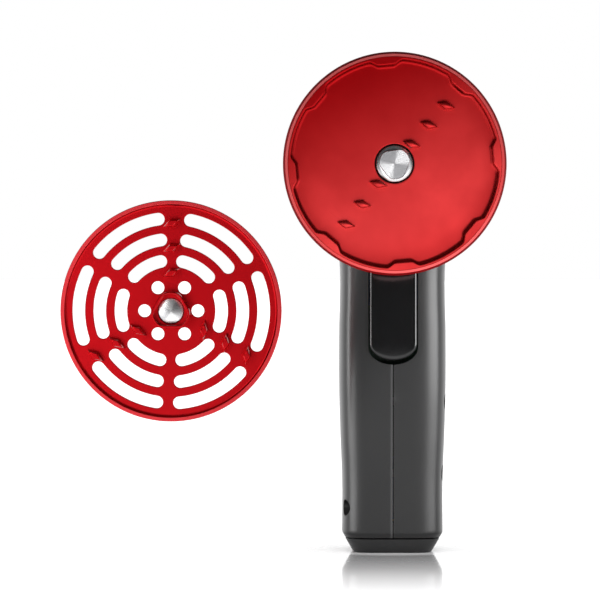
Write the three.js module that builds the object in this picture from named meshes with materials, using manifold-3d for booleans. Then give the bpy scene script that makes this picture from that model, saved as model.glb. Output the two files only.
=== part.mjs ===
// A hand-held cordless spice grinder with a pistol grip. Millimetres, +Z up.
// The origin is the centre of the flat foot, the grinding head faces -Y.
// The perforated grinding plate hangs at the left of the head, with its teeth to the front.
import * as THREE from 'three'
import { mergeVertices } from 'three/addons/utils/BufferGeometryUtils.js'
import Module from 'manifold-3d'

const wasm = await Module()
wasm.setup()

// ---- driving dimensions ----
const fit = 0.3 // gap between two pieces that touch
const runningFit = 0.06 // radial gap of a shaft in its hole

const headHeight = 97.5 // the head's axis above the foot
const rimY = -36 // the head's front rim
const headRadius = 27.5
const headDepth = 11
const bowlDepth = 5
const bowlFloor = 3
const floorY = rimY + bowlDepth
const floorBackY = floorY + bowlFloor
const scallopRadius = 25.6
const lobeRadius = 24.3
const lobeCount = 8
const lobeStart = 5 // angle of the first lobe, degrees
const lobeHalf = 5 // half of a lobe's flat, degrees
const lobeRamp = 4 // its run-in on each side, degrees
const skirtWall = 2.5

const toothHeight = 4.5
const headTooth = { length: 4.2, width: 1.9, turn: 25, radii: [6.4, 12.9, 19.1], angles: [48.4, 231.5] }
const plateTooth = {
  length: 4.4,
  width: 2.0,
  turn: 24,
  radii: [9.4, 15.5, 21.6],
  angles: [89.5, 210.5, 329.5]
}

const noseVertex = 3.85 // three-flat drive nose: to a rounded corner, and to a flat
const noseFlat = 3.1
const noseHeight = 4 // above the bowl floor
const collarHeight = 1
const collarRadius = 4.5
const journalRadius = 2.5

const plateCentre = new THREE.Vector3(-55, rimY, headHeight - 36.2)
const plateRadius = 27.2
const plateThick = 2
const plateRimHeight = 1.8
const plateRimWall = 1
const plateGap = 0.4 // between the two rims when the plate is seated
const bossHeight = 5.8
const bossVertex = 4.7
const bossFlat = 4.2
const pocketVertex = 4.3
const pocketFlat = 3.45
const pocketTurn = 90 // angle of the pocket's first corner
const magnetRadius = 3.1
const magnetHeight = 3.2
const slotWidth = 3.1
const slotRings = [
  { radius: 22.76, first: 88, toothSpoke: 10, plainSpoke: 7 },
  { radius: 17.6, first: 88, toothSpoke: 10.3, plainSpoke: 9.2 },
  { radius: 12.4, first: 89.5, toothSpoke: 12.4, plainSpoke: 12.4 }
]
const holeRing = { radius: 6.56, holeRadius: 1.58, count: 6 }

const barrelRadius = 18
const wall = 2
const barrelBack = 20
const barrelFront = floorBackY + fit
const seam = 0.2 // line between the two halves of the case

// grip stations from the bottom up: height, half width, front and back
const gripStations = [
  [3.9, 12.3, -14.2, 13.8],
  [5, 12.9, -14.9, 14.5],
  [18, 12.9, -15.2, 14.8],
  [30, 13.35, -15.6, 15.4],
  [42, 13.65, -16, 15.9],
  [56, 13.65, -16, 16],
  [64, 13.45, -15.9, 15.6],
  [72, 13.5, -15.9, 15.2],
  [80, 14.4, -16.2, 15.2],
  [87, 16, -16.8, 15.8],
  [94, 17.4, -17.4, 16.6]
]
const frontSquareness = 5
const backSquareness = 2.7
const gripFloor = 2
const capStations = [
  [0, 10.2, -12.1, 11.7],
  [0.7, 10.7, -12.6, 12.2],
  [3.6, 12.15, -14.05, 13.65]
]

const triggerWidth = 11.7
const triggerGap = 0.35
const triggerBottom = 48.6
const triggerTop = 76
const triggerBack = -11.5
const triggerPivot = { y: -12.8, z: 73.4, radius: 1 }

// torsion spring beside the trigger
const spring = { radius: 1.4, wire: 0.25, turns: 3, length: 2, from: 6.8 }

const screwAngles = [90, 210, 330] // three screws hold the head to the gearbox plate
const headScrewRadius = 9.5
const bearingRadius = 6.5
const sealRadius = 6.3
const pinRadius = 1
const screwShank = 1
const screwHole = 1.1
const motor = { radius: 13.85, front: -14.8, back: 12, shaftRadius: 1 }
const motorScrewAngles = [0, 180]
const motorScrewRadius = 8
const baseScrewX = [-6.5, 6.5]
const switchZ = 55

const gearModule = 0.6
const pressureAngle = THREE.MathUtils.degToRad(25)
const sunTeeth = 12
const planetTeeth = 15
const ringTeeth = 42
const orbitRadius = (gearModule * (sunTeeth + planetTeeth)) / 2
const gearY = [-21.6, -17.6] // front and back of the planets and the sun

const cell = { radius: 9.15, y: 4.5, bottom: 8, top: 73 }
const jack = { y: -11.3, z: 11.4, radius: 2.55, socket: 1.9 }
// the case screws run along X, in wells on the right flank
const caseScrews = [
  { y: -9, z: 20, seat: 10.6, tip: -8 },
  { y: -9, z: 38, seat: 10.9, tip: -8 },
  { y: -9, z: 79, seat: 10.6, tip: -8 },
  { y: 10.5, z: 78.2, seat: 8, tip: -6 }
]
const caseScrew = { shank: 1, head: 1.9, headHeight: 1.4, well: 2.2, boss: 2.4 }

// ---- materials ----
const finish = (color, roughness, metalness) => ({ color, roughness, metalness })
const redAlloy = finish(0xc81e26, 0.35, 0.9)
const steel = finish(0xb8babd, 0.3, 1)
const darkSteel = finish(0x4a4c50, 0.45, 0.9)
const casePlastic = finish(0x2f3032, 0.5, 0)
const glossPlastic = finish(0x0b0b0c, 0.12, 0)
const brass = finish(0xc9a24a, 0.35, 1)
const rubber = finish(0x1a1a1a, 0.8, 0)
const boardGreen = finish(0x1e5a35, 0.5, 0)
const cellWrap = finish(0x2c5f8f, 0.4, 0)
const whitePlastic = finish(0xe6e4dc, 0.45, 0)

// ---- making and cutting solids ----
const rad = THREE.MathUtils.degToRad

function solid(geometry) {
  const bare = new THREE.BufferGeometry()
  bare.setAttribute('position', geometry.getAttribute('position'))
  if (geometry.index) bare.setIndex(geometry.index)
  const merged = mergeVertices(bare, 1e-4)
  const at = merged.getAttribute('position').array
  const corners = []
  let volume = 0
  const a = new THREE.Vector3()
  const b = new THREE.Vector3()
  const c = new THREE.Vector3()
  for (let i = 0; i < merged.index.count; i += 3) {
    const [p, q, r] = merged.index.array.slice(i, i + 3)
    if (p === q || q === r || r === p) continue
    corners.push(p, q, r)
    a.fromArray(at, p * 3)
    b.fromArray(at, q * 3)
    c.fromArray(at, r * 3)
    volume += a.dot(b.cross(c))
  }
  if (volume < 0) corners.reverse()
  return new wasm.Manifold(
    new wasm.Mesh({
      numProp: 3,
      vertProperties: new Float32Array(at),
      triVerts: new Uint32Array(corners)
    })
  )
}

const join = (first, ...others) => others.reduce((sum, s) => sum.add(s), first)
const cut = (first, ...others) => others.reduce((sum, s) => sum.subtract(s), first)

function geometryOf(body) {
  const mesh = body.getMesh()
  const geometry = new THREE.BufferGeometry()
  geometry.setAttribute('position', new THREE.BufferAttribute(mesh.vertProperties, 3))
  geometry.setIndex(new THREE.BufferAttribute(mesh.triVerts, 1))
  geometry.computeVertexNormals()
  return geometry
}

function addPiece(group, name, shape, look) {
  const geometry = shape.isBufferGeometry ? shape : geometryOf(shape)
  const mesh = new THREE.Mesh(geometry, new THREE.MeshStandardMaterial(look))
  mesh.name = name
  group.add(mesh)
  return mesh
}

// a body turned about the Y axis: pairs of radius and Y, closed on itself unless it meets the axis
function turned(pairs, segments = 40) {
  const points = pairs.map(([radius, y]) => new THREE.Vector2(radius, y))
  const onAxis = pairs[0][0] === 0 && pairs.at(-1)[0] === 0
  if (!onAxis) points.push(points[0].clone())
  return solid(new THREE.LatheGeometry(points, segments))
}

const rodY = (radius, from, to, segments = 24) =>
  turned([[0, from], [radius, from], [radius, to], [0, to]], segments)

// a shape drawn in X and Z as seen from the front, running from one Y to another
function slabY(shape, from, to, curveSegments = 3) {
  const geometry = new THREE.ExtrudeGeometry(shape, {
    depth: to - from,
    bevelEnabled: false,
    curveSegments
  })
  geometry.rotateX(Math.PI / 2)
  geometry.translate(0, to, 0)
  return solid(geometry)
}

function boxAt([x0, x1], [y0, y1], [z0, z1]) {
  const geometry = new THREE.BoxGeometry(x1 - x0, y1 - y0, z1 - z0)
  geometry.translate((x0 + x1) / 2, (y0 + y1) / 2, (z0 + z1) / 2)
  return solid(geometry)
}

function rodX(radius, from, to, y, z, segments = 16) {
  const geometry = new THREE.CylinderGeometry(radius, radius, to - from, segments)
  geometry.rotateZ(Math.PI / 2)
  geometry.translate((from + to) / 2, y, z)
  return solid(geometry)
}

function rodZ(radius, from, to, x, y, segments = 24) {
  const geometry = new THREE.CylinderGeometry(radius, radius, to - from, segments)
  geometry.rotateX(Math.PI / 2)
  geometry.translate(x, y, (from + to) / 2)
  return solid(geometry)
}

const moved = (body, x, y, z) => body.translate([x, y, z])

const polar = (radius, degrees) =>
  new THREE.Vector2(radius * Math.cos(rad(degrees)), radius * Math.sin(rad(degrees)))

// copies of a body lying along Y, at the given angles round it
const around = (body, radius, angles) =>
  angles.map((angle) => {
    const at = polar(radius, angle)
    return moved(body, at.x, 0, at.y)
  })

// ---- grip sections: squarer at the front than at the back ----
function gripRing([z, halfWidth, front, back], inset, count = 32) {
  return Array.from({ length: count }, (_, i) => {
    const t = (i / count) * 2 * Math.PI
    const depth = Math.sin(t) < 0 ? -front - inset : back - inset
    const power = 2 / (Math.sin(t) < 0 ? frontSquareness : backSquareness)
    const bend = (v) => Math.sign(v) * Math.abs(v) ** power
    const x = Math.abs(Math.cos(t)) < 1e-9 ? 0 : bend(Math.cos(t)) * (halfWidth - inset)
    const y = Math.abs(Math.sin(t)) < 1e-9 ? 0 : bend(Math.sin(t)) * depth
    return new THREE.Vector3(x, y, z)
  })
}

// a closed body through rings with the same number of points
function loft(rings) {
  const count = rings[0].length
  const points = rings.flat()
  const index = []
  for (let k = 0; k + 1 < rings.length; k++) {
    for (let i = 0; i < count; i++) {
      const a = k * count + i
      const b = k * count + ((i + 1) % count)
      index.push(a, b, b + count, a, b + count, a + count)
    }
  }
  const top = (rings.length - 1) * count
  for (let i = 1; i + 1 < count; i++) {
    index.push(0, i + 1, i)
    index.push(top, top + i, top + i + 1)
  }
  const geometry = new THREE.BufferGeometry().setFromPoints(points)
  geometry.setIndex(index)
  return solid(geometry)
}

// ---- shapes of the head and the plate ----
const circle = (radius, count) =>
  Array.from({ length: count }, (_, i) => polar(radius, (i * 360) / count))

function scallopShape() {
  const shape = new THREE.Shape()
  const step = 360 / lobeCount
  for (let k = 0; k < lobeCount; k++) {
    const lobe = lobeStart + k * step
    const start = polar(lobeRadius, lobe - lobeHalf)
    const end = polar(lobeRadius, lobe + lobeHalf)
    if (k === 0) shape.moveTo(start.x, start.y)
    else shape.lineTo(start.x, start.y)
    shape.lineTo(end.x, end.y)
    const from = rad(lobe + lobeHalf + lobeRamp)
    const to = rad(lobe + step - lobeHalf - lobeRamp)
    shape.absarc(0, 0, scallopRadius, from, to, false)
  }
  return shape
}

// three flats joined by round corners about the axis
function triangleShape(corner, flat, firstCorner) {
  const half = THREE.MathUtils.radToDeg(Math.acos(flat / corner))
  const shape = new THREE.Shape()
  for (let k = 0; k < 3; k++) {
    const middle = firstCorner + k * 120
    const spread = 60 - half
    const from = rad(middle - spread)
    const start = polar(corner, middle - spread)
    if (k === 0) shape.moveTo(start.x, start.y)
    shape.absarc(0, 0, corner, from, rad(middle + spread), false)
  }
  return shape
}

function diamond(length, width, radius, angle, turn) {
  const centre = polar(radius, angle)
  const along = angle + 90 + turn
  const tips = [polar(length / 2, along), polar(width / 2, along + 90)]
  const shape = new THREE.Shape()
  shape.moveTo(centre.x + tips[0].x, centre.y + tips[0].y)
  shape.lineTo(centre.x + tips[1].x, centre.y + tips[1].y)
  shape.lineTo(centre.x - tips[0].x, centre.y - tips[0].y)
  shape.lineTo(centre.x - tips[1].x, centre.y - tips[1].y)
  return shape
}

function teeth(kind, from, to) {
  return kind.angles.flatMap((angle) =>
    kind.radii.map((radius) => slabY(diamond(kind.length, kind.width, radius, angle, kind.turn), from, to))
  )
}

function arcSlot(radius, startDegrees, endDegrees) {
  const start = rad(startDegrees)
  const end = rad(endDegrees)
  const half = slotWidth / 2
  const shape = new THREE.Path()
  shape.absarc(0, 0, radius + half, start, end, false)
  shape.absarc(radius * Math.cos(end), radius * Math.sin(end), half, end, end + Math.PI, false)
  shape.absarc(0, 0, radius - half, end, start, true)
  const back = start + Math.PI
  shape.absarc(radius * Math.cos(start), radius * Math.sin(start), half, back, back + Math.PI, false)
  return shape
}

// ---- gears ----
// outline of an external gear; a ring gear's inner outline is the same with the spaces widened
function gearShape(count, tip, root, play) {
  const pitchRadius = (gearModule * count) / 2
  const baseRadius = pitchRadius * Math.cos(pressureAngle)
  const involute = (angle) => Math.tan(angle) - angle
  const halfAngle = (radius) => {
    const pressure = Math.acos(Math.min(1, baseRadius / Math.max(radius, baseRadius)))
    return Math.PI / (2 * count) + involute(pressureAngle) - involute(pressure) - play / (2 * pitchRadius)
  }
  const radii = [root, pitchRadius, tip]
  const shape = new THREE.Shape()
  for (let k = 0; k < count; k++) {
    const middle = (k / count) * 2 * Math.PI
    const rising = radii.map((r) => [r, middle - halfAngle(r)])
    const falling = radii.map((r) => [r, middle + halfAngle(r)]).reverse()
    for (const [r, angle] of [...rising, ...falling]) {
      const [x, y] = [r * Math.cos(angle), r * Math.sin(angle)]
      if (shape.curves.length === 0 && shape.currentPoint.lengthSq() === 0) shape.moveTo(x, y)
      else shape.lineTo(x, y)
    }
  }
  return shape
}

const addendum = 0.8 * gearModule
const dedendum = 1.05 * gearModule
const gearPlay = 0.1
const externalGear = (count) => {
  const pitchRadius = (gearModule * count) / 2
  return gearShape(count, pitchRadius + addendum, pitchRadius - dedendum, gearPlay)
}

const part = new THREE.Group()
const driveLine = new THREE.Group()
driveLine.position.z = headHeight
part.add(driveLine)

// ---- grinding head: a bowl with a scalloped wall, two rows of teeth and a skirt behind ----
function grinderHead() {
  const backY = rimY + headDepth
  const body = turned(
    [
      [0, rimY],
      [headRadius - 0.8, rimY],
      [headRadius - 0.25, rimY + 0.25],
      [headRadius, rimY + 0.8],
      [headRadius, backY - 0.6],
      [headRadius - 0.6, backY],
      [headRadius - skirtWall, backY],
      [headRadius - skirtWall, floorBackY],
      [0, floorBackY]
    ],
    56
  )
  const bowl = slabY(scallopShape(), rimY - 1, floorY)
  const bore = rodY(collarRadius + 0.35, rimY, floorY + 0.6)
  const sealSeat = rodY(sealRadius + fit, floorY + 0.6, floorBackY + 1)
  const screwHoles = around(rodY(screwHole, floorY + 0.9, floorBackY + 1, 12), headScrewRadius, screwAngles)
  const shell = cut(body, bowl, bore, sealSeat, ...screwHoles)
  return join(shell, ...teeth(headTooth, floorY - toothHeight, floorY + 0.3))
}

addPiece(driveLine, 'grinder_head', grinderHead(), redAlloy)

// a ring about the Y axis
const ringY = (inner, outer, from, to) =>
  turned([[inner, from], [outer, from], [outer, to], [inner, to]], 24)

const shaftBore = journalRadius + runningFit
addPiece(driveLine, 'shaft_seal', ringY(shaftBore, sealRadius, floorY + 0.9, floorY + 2.6), rubber)

// ---- gearbox front plate, with the bearing in its middle and three screws into the head ----
const frontPlateY = [barrelFront, barrelFront + 3]
const barrelFill = barrelRadius - wall - fit
const frontPlate = cut(
  rodY(barrelFill, frontPlateY[0], frontPlateY[1], 40),
  rodY(bearingRadius + 0.1, frontPlateY[0] - 1, frontPlateY[1] + 1),
  ...around(rodY(screwHole, frontPlateY[0] - 1, frontPlateY[1] + 1, 12), headScrewRadius, screwAngles)
)
addPiece(driveLine, 'gearbox_plate', frontPlate, darkSteel)
const bearing = ringY(shaftBore, bearingRadius, frontPlateY[0] + 0.2, frontPlateY[1] - 0.2)
addPiece(driveLine, 'front_bearing', bearing, steel)

screwAngles.forEach((angle, i) => {
  const at = polar(headScrewRadius, angle)
  const screw = join(
    rodY(screwShank, floorY + 1.1, frontPlateY[1] + 0.4, 10),
    rodY(1.9, frontPlateY[1] + 0.2, frontPlateY[1] + 1.2, 16)
  )
  const mesh = addPiece(driveLine, `head_screw_${i + 1}`, screw, steel)
  mesh.position.set(at.x, 0, at.y)
})

// the plate is turned over about the upright of the line to the head, which mirrors its angles,
// so this is where the nose has a corner for the seated pocket
const plateRise = THREE.MathUtils.radToDeg(Math.atan2(headHeight - plateCentre.z, -plateCentre.x))
const noseTurn = 180 + 2 * plateRise - (pocketTurn + 120)

// ---- drive shaft: three-flat nose, collar and journal; it carries the planet carrier ----
const carrierY = [-23.2, -21.9]
const noseY = floorY - noseHeight
const collarY = floorY - collarHeight
const nose = slabY(triangleShape(noseVertex, noseFlat, noseTurn), noseY, collarY + 0.2)
const shaft = join(
  nose,
  turned(
    [
      [0, collarY],
      [collarRadius - 0.3, collarY],
      [collarRadius, collarY + 0.3],
      [collarRadius, floorY + 0.5],
      [journalRadius, floorY + 0.5],
      [journalRadius, carrierY[1]],
      [0, carrierY[1]]
    ],
    32
  )
)
addPiece(driveLine, 'drive_shaft', shaft, steel)

const planetAngles = [0, 120, 240]
const planetPlaces = planetAngles.map((angle) => polar(orbitRadius, angle))
const carrier = cut(
  rodY(orbitRadius + 2.2, carrierY[0], carrierY[1], 32),
  rodY(journalRadius + 0.1, carrierY[0] - 1, carrierY[1] + 1),
  ...around(rodY(pinRadius + 0.1, carrierY[0] - 1, carrierY[1] + 1, 12), orbitRadius, planetAngles)
)
addPiece(driveLine, 'planet_carrier', carrier, darkSteel)

const pinRod = rodY(pinRadius, carrierY[0] + 0.2, gearY[1] + 0.2, 12)
planetPlaces.forEach((at, i) => {
  addPiece(driveLine, `planet_pin_${i + 1}`, pinRod, steel).position.set(at.x, 0, at.y)
})

// ---- planets, sun and ring ----
const planetBlank = cut(
  slabY(externalGear(planetTeeth), gearY[0], gearY[1]),
  rodY(pinRadius + runningFit + 0.04, gearY[0] - 1, gearY[1] + 1, 16)
)
planetAngles.forEach((angle, i) => {
  const gear = addPiece(driveLine, `planet_gear_${i + 1}`, planetBlank, brass)
  const phase = angle + 180 + (angle * sunTeeth) / planetTeeth - 180 / planetTeeth
  gear.position.set(planetPlaces[i].x, 0, planetPlaces[i].y)
  gear.rotation.y = -rad(phase)
})

const sun = cut(
  slabY(externalGear(sunTeeth), gearY[0], gearY[1]),
  rodY(motor.shaftRadius + 0.05, gearY[0] - 1, gearY[1] + 1, 16)
)
addPiece(driveLine, 'sun_gear', sun, brass)

const ringPitch = (gearModule * ringTeeth) / 2
const ringSpaces = gearShape(ringTeeth, ringPitch + dedendum, ringPitch - addendum, -gearPlay)
const ringGear = cut(
  rodY(barrelFill, gearY[0] - 2, gearY[1] + 0.3, 40),
  slabY(ringSpaces, gearY[0] - 0.2, gearY[1] + 1),
  rodY(orbitRadius + 3.8, gearY[0] - 3, gearY[0], 32)
)
addPiece(driveLine, 'ring_gear', ringGear, whitePlastic)

// ---- motor ----
const mountY = [gearY[1] + 0.6, motor.front - fit]
const mountHole = join(
  rodY(screwHole, mountY[0] - 1, mountY[1] + 1, 12),
  rodY(2, mountY[0] - 1, mountY[0] + 0.9, 16)
)
const mountPlate = cut(
  rodY(barrelFill, mountY[0], mountY[1], 40),
  rodY(3.4, mountY[0] - 1, mountY[1] + 1),
  ...around(mountHole, motorScrewRadius, motorScrewAngles)
)
addPiece(driveLine, 'motor_mount', mountPlate, darkSteel)
const can = cut(
  turned(
    [
      [0, motor.front],
      [motor.radius - 0.8, motor.front],
      [motor.radius, motor.front + 0.8],
      [motor.radius, motor.back],
      [0, motor.back]
    ],
    36
  ),
  rodY(motor.shaftRadius + runningFit, motor.front - 1, motor.front + 12, 16),
  ...around(rodY(screwHole, motor.front - 1, motor.front + 3, 12), motorScrewRadius, motorScrewAngles)
)
addPiece(driveLine, 'motor_can', can, steel)
const capFace = motor.back + 2.6
const endCap = join(
  turned(
    [
      [0, motor.back + fit],
      [motor.radius - 0.5, motor.back + fit],
      [motor.radius - 1, capFace],
      [0, capFace]
    ],
    32
  ),
  rodY(3, motor.back + 1, capFace + 1.6, 20)
)
addPiece(driveLine, 'motor_end_cap', endCap, whitePlastic)
const motorScrew = join(
  rodY(screwShank, mountY[0] + 0.4, motor.front + 2.6, 10),
  rodY(1.8, mountY[0] - 0.1, mountY[0] + 0.7, 14)
)
motorScrewAngles.forEach((angle, i) => {
  const at = polar(motorScrewRadius, angle)
  addPiece(driveLine, `motor_screw_${i + 1}`, motorScrew, steel).position.set(at.x, 0, at.y)
})
addPiece(driveLine, 'motor_shaft', rodY(motor.shaftRadius, gearY[0] + 0.2, motor.front + 11, 16), steel)

// ---- case: grip and barrel in two halves ----
const pillShape = (width, bottom, top) => {
  const half = width / 2
  const shape = new THREE.Shape()
  shape.moveTo(half, bottom + half)
  shape.lineTo(half, top - half)
  shape.absarc(0, top - half, half, 0, Math.PI, false)
  shape.lineTo(-half, bottom + half)
  shape.absarc(0, bottom + half, half, Math.PI, 2 * Math.PI, false)
  return shape
}

function barrel(inset) {
  const radius = barrelRadius - inset
  const back = barrelBack - inset
  const round = 5 - inset
  const front = inset > 0 ? barrelFront - 1 : barrelFront
  const arc = [0, 30, 60, 90].map((degrees) => [
    radius - round + round * Math.cos(rad(degrees)),
    back - round + round * Math.sin(rad(degrees))
  ])
  return moved(turned([[0, front], [radius, front], ...arc, [0, back]], 40), 0, 0, headHeight)
}

const triggerSlot = pillShape(triggerWidth + 2 * triggerGap, triggerBottom - 1.2, triggerTop + 0.6)

function caseBody() {
  const outside = join(loft(gripStations.map((station) => gripRing(station, 0))), barrel(0))
  const insideStations = gripStations.filter((station, i) => i % 2 === 0)
  insideStations[0] = [gripStations[0][0] + gripFloor, ...gripStations[1].slice(1)]
  const inside = join(loft(insideStations.map((station) => gripRing(station, wall))), barrel(wall))
  const bosses = caseScrews.map(({ y, z }) => rodX(caseScrew.boss, -14, 14, y, z, 12))
  const ribs = [-10, 8].map((y) =>
    moved(
      cut(rodY(barrelRadius - 1, y - 1, y + 1, 40), rodY(motor.radius + fit, y - 2, y + 2, 32)),
      0,
      0,
      headHeight
    )
  )
  const hollow = cut(outside, inside)
  const inner = join(...bosses, ...ribs).intersect(outside)
  const springPocket = rodX(spring.radius + 0.5, -fit, spring.length + fit, 0, 0)
  const cellRoom = rodZ(cell.radius + 0.2, cell.bottom - 1, cell.top + 1, 0, cell.y)
  return cut(
    join(hollow, inner),
    cellRoom,
    slabY(triggerSlot, -20, -12.5),
    rodX(triggerPivot.radius + 0.1, -11.8, 11.8, triggerPivot.y, triggerPivot.z, 12),
    moved(springPocket, spring.from, triggerPivot.y, triggerPivot.z),
    rodX(jack.radius + fit, -10.5, 0, jack.y, jack.z),
    rodX(jack.socket + 0.15, -20, -9, jack.y, jack.z, 20),
    ...caseScrews.map(({ y, z, seat }) => rodX(caseScrew.well, seat, 20, y, z)),
    ...caseScrews.map(({ y, z, seat, tip }) =>
      rodX(caseScrew.shank + 0.1, tip - 0.4, seat + 1, y, z, 10)
    ),
    ...baseScrewX.map((x) => rodZ(1.35, 0, 8, x, 0, 12))
  )
}

const whole = caseBody()
const side = 40 // beyond the case on every side
const leftSide = boxAt([-side, -seam / 2], [-side, side], [0, 140])
const rightSide = boxAt([seam / 2, side], [-side, side], [0, 140])
addPiece(part, 'left_shell', whole.intersect(leftSide), casePlastic)
addPiece(part, 'right_shell', whole.intersect(rightSide), casePlastic)

caseScrews.forEach(({ y, z, seat, tip }, i) => {
  const headFrom = seat + 0.2
  const screw = join(
    rodX(caseScrew.shank, tip, headFrom + 0.2, y, z, 12),
    rodX(caseScrew.head, headFrom, headFrom + caseScrew.headHeight, y, z)
  )
  addPiece(part, `case_screw_${i + 1}`, screw, steel)
})

// ---- base cap and its two screws ----
const baseCap = cut(
  loft(capStations.map((station) => gripRing(station, 0))),
  ...baseScrewX.map((x) => rodZ(2.6, -1, 1.9, x, 0, 20)),
  ...baseScrewX.map((x) => rodZ(1.35, 1, 5, x, 0, 12))
)
addPiece(part, 'base_cap', baseCap, casePlastic)
baseScrewX.forEach((x, i) => {
  const screw = join(rodZ(1.2, 1, 6.6, x, 0, 12), rodZ(2.3, 0.4, 1.7, x, 0, 20))
  addPiece(part, `base_screw_${i + 1}`, screw, steel)
})

// ---- cell, contacts, board, jack ----
addPiece(part, 'battery_cell', rodZ(cell.radius, cell.bottom, cell.top, 0, cell.y, 32), cellWrap)
const contactAt = (z) => boxAt([-4, 4], [cell.y - 5, cell.y + 5], [z, z + 0.4])
addPiece(part, 'battery_contact_bottom', contactAt(cell.bottom - 0.7), brass)
addPiece(part, 'battery_contact_top', contactAt(cell.top + fit), brass)
addPiece(part, 'control_board', boxAt([-8, 8], [-6.2, -5.1], [24, 62]), boardGreen)
const socketHole = rodX(jack.socket, -11, -4, jack.y, jack.z, 16)
addPiece(part, 'charge_jack', cut(rodX(jack.radius, -10.2, -2.5, jack.y, jack.z), socketHole), rubber)
addPiece(part, 'jack_pin', rodX(0.55, -9.6, -4.2, jack.y, jack.z, 10), steel)

// ---- switch, trigger, pin and torsion spring ----
const switchBox = boxAt([-3.2, 3.2], [-8.9, -6.5], [switchZ - 5, switchZ + 5])
const plungerWell = boxAt([-1.1, 1.1], [-9.5, -6.7], [switchZ - 1.4, switchZ + 1.4])
const plunger = boxAt([-0.9, 0.9], [triggerBack + fit, -8.5], [switchZ - 1.2, switchZ + 1.2])
addPiece(part, 'micro_switch', cut(switchBox, plungerWell), rubber)
addPiece(part, 'switch_plunger', plunger, whitePlastic)

function triggerBody() {
  const pill = slabY(pillShape(triggerWidth, triggerBottom, triggerTop), -20, triggerBack, 5)
  // side profile in Y and Z: the lower end stands proud of the grip
  const profile = new THREE.Shape()
  profile.moveTo(triggerBack + 1, triggerBottom - 1)
  profile.lineTo(triggerBack + 1, triggerTop + 1)
  profile.lineTo(-16.4, triggerTop + 1)
  profile.quadraticCurveTo(-17.6, 66, -18.1, triggerBottom + 4)
  profile.quadraticCurveTo(-18.2, triggerBottom + 0.6, -17.2, triggerBottom - 1)
  const settings = { depth: 20, bevelEnabled: false, curveSegments: 6 }
  const geometry = new THREE.ExtrudeGeometry(profile, settings)
  // Y and Z of the drawing stay Y and Z of the part
  geometry.applyMatrix4(new THREE.Matrix4().set(0, 0, 1, -10, 1, 0, 0, 0, 0, 1, 0, 0, 0, 0, 0, 1))
  const hole = rodX(triggerPivot.radius + runningFit, -10, 10, triggerPivot.y, triggerPivot.z, 16)
  return cut(pill.intersect(solid(geometry)), hole)
}
addPiece(part, 'trigger', triggerBody(), glossPlastic)
const triggerPin = rodX(triggerPivot.radius, -11.5, 11.5, triggerPivot.y, triggerPivot.z, 16)
addPiece(part, 'trigger_pin', triggerPin, steel)

class Helix extends THREE.Curve {
  getPoint(t, target = new THREE.Vector3()) {
    const angle = t * spring.turns * 2 * Math.PI
    return target.set(t * spring.length, spring.radius * Math.cos(angle), spring.radius * Math.sin(angle))
  }
}
const wire = new THREE.Shape().absarc(0, 0, spring.wire, 0, 2 * Math.PI, false)
const windings = { extrudePath: new Helix(), steps: 30, curveSegments: 3, bevelEnabled: false }
const coil = addPiece(part, 'trigger_spring', solid(new THREE.ExtrudeGeometry(wire, windings)), steel)
coil.position.set(spring.from, triggerPivot.y, triggerPivot.z)

// ---- grinding plate and its magnet, turned over so that the teeth face the front ----
const plateGroup = new THREE.Group()
plateGroup.position.copy(plateCentre)
part.add(plateGroup)

function grindingPlate() {
  const rimEdge = plateGap
  const faceY = rimEdge + plateRimHeight
  const backY = faceY + plateThick
  const disc = new THREE.Shape(circle(plateRadius - 0.4, 56))
  for (const ring of slotRings) {
    for (let k = 0; k < 3; k++) {
      const spoke = ring.first + 120 * k
      const plain = spoke + 60
      disc.holes.push(arcSlot(ring.radius, spoke + ring.toothSpoke, plain - ring.plainSpoke))
      disc.holes.push(arcSlot(ring.radius, plain + ring.plainSpoke, spoke + 120 - ring.toothSpoke))
    }
  }
  for (let k = 0; k < holeRing.count; k++) {
    const at = polar(holeRing.radius, (k * 360) / holeRing.count)
    disc.holes.push(new THREE.Path(circle(holeRing.holeRadius, 12).map((point) => point.add(at))))
  }
  const rim = turned(
    [
      [plateRadius - plateRimWall, rimEdge],
      [plateRadius - 0.2, rimEdge],
      [plateRadius, rimEdge + 0.2],
      [plateRadius, backY - 0.4],
      [plateRadius - 0.4, backY],
      [plateRadius - plateRimWall, backY]
    ],
    56
  )
  const bossEnd = faceY - bossHeight
  const boss = slabY(triangleShape(bossVertex, bossFlat, pocketTurn), bossEnd, faceY + 0.3)
  const pocket = slabY(triangleShape(pocketVertex, pocketFlat, pocketTurn), bossEnd - 1, magnetY[0])
  const magnetSeat = rodY(magnetRadius + 0.1, magnetY[0] - 0.5, magnetY[1] + 0.1)
  return cut(
    join(slabY(disc, faceY, backY), rim, boss, ...teeth(plateTooth, faceY - toothHeight, faceY + 0.3)),
    pocket,
    magnetSeat
  )
}

// seated, the magnet's face is one fit beyond the tip of the nose
const magnetFace = noseHeight + fit - bowlDepth
const magnetY = [magnetFace, magnetFace + magnetHeight]
addPiece(plateGroup, 'grinding_plate', grindingPlate(), redAlloy)
addPiece(plateGroup, 'plate_magnet', rodY(magnetRadius, magnetY[0], magnetY[1], 28), steel)

export default part
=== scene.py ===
import math
import bpy
import bmesh
from mathutils import Matrix, Vector


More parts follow.
